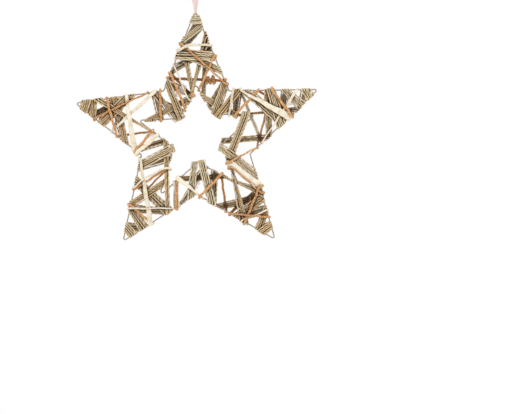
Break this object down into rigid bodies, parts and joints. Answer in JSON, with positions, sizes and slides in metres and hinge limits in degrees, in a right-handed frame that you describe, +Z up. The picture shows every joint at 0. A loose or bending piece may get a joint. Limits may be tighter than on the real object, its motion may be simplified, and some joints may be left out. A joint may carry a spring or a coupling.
{
  "type": "glitter star ornament",
  "caption": "Flat hanging star of two bent wire stars wound with glitter twine, rust yarn and cream wool, on a ribbon loop.",
  "frame": {"origin": "hanging point: inside the ribbon loop, just under its knot", "axes": "+Z up towards the knot, the star hangs in the XZ plane and its front faces -Y"},
  "size_m": [0.4003, 0.0383, 0.4872],
  "materials": {
    "glitter_twine": "twisted paper twine with gold glitter",
    "rust_yarn": "fuzzy wool yarn",
    "cream_wool": "soft wool roving",
    "steel_wire": "dull grey-brown",
    "sheer_ribbon": "sheer organza"
  },
  "bodies": {
    "root": {"outer_wire": "steel_wire", "inner_wire": "steel_wire", "top_arm_low_glitter_band": "glitter_twine", "top_arm_glitter_winding": "glitter_twine", "left_arm_glitter_winding": "glitter_twine", "lower_left_arm_glitter_winding": "glitter_twine", "lower_right_arm_glitter_winding": "glitter_twine", "right_arm_upright_glitter_band": "glitter_twine", "right_arm_glitter_winding": "glitter_twine", "top_arm_back_glitter_band": "glitter_twine", "top_notch_glitter_band": "glitter_twine", "left_tip_glitter_band": "glitter_twine", "lower_left_glitter_band": "glitter_twine", "lower_left_long_glitter_band": "glitter_twine", "lower_right_inner_glitter_band": "glitter_twine", "lower_right_glitter_band": "glitter_twine", "right_arm_back_glitter_band": "glitter_twine", "right_elbow_glitter_band": "glitter_twine", "bottom_left_glitter_band": "glitter_twine", "bottom_back_glitter_band": "glitter_twine", "left_arm_back_glitter_band": "glitter_twine", "top_elbow_glitter_strap": "glitter_twine", "left_upper_elbow_glitter_strap": "glitter_twine", "left_notch_glitter_band": "glitter_twine", "top_left_elbow_glitter_strap": "glitter_twine", "left_lower_elbow_glitter_strap": "glitter_twine", "bottom_left_elbow_glitter_strap": "glitter_twine", "bottom_right_elbow_glitter_strap": "glitter_twine", "right_lower_glitter_strap": "glitter_twine", "right_upper_elbow_glitter_strap": "glitter_twine", "right_lower_elbow_glitter_strap": "glitter_twine", "top_arm_twine_vee": "glitter_twine", "top_arm_thin_rust_yarn": "rust_yarn", "top_arm_long_rust_yarn": "rust_yarn", "top_arm_cream_yarn": "cream_wool", "top_arm_back_rust_coil": "rust_yarn", "top_left_elbow_rust_yarn": "rust_yarn", "left_arm_cream_roving": "cream_wool", "left_arm_low_rust_yarn": "rust_yarn", "left_arm_crossing_rust_yarn": "rust_yarn", "left_elbow_rust_yarn": "rust_yarn", "left_lower_cream_roving": "cream_wool", "lower_left_rust_yarn": "rust_yarn", "lower_left_thick_cream_roving": "cream_wool", "lower_left_cream_arc": "cream_wool", "lower_left_thin_cream_yarn": "cream_wool", "lower_left_short_rust_yarn": "rust_yarn", "bottom_cream_roving": "cream_wool", "bottom_rust_yarn": "rust_yarn", "lower_right_cream_roving": "cream_wool", "lower_right_rust_yarn": "rust_yarn", "right_arm_thin_cream_yarn": "cream_wool", "right_arm_short_rust_yarn": "rust_yarn", "right_arm_cream_roving": "cream_wool", "right_arm_crossing_rust_yarn": "rust_yarn", "hanging_ribbon": "sheer_ribbon", "ribbon_knot": "sheer_ribbon"}
  },
  "joints": []
}
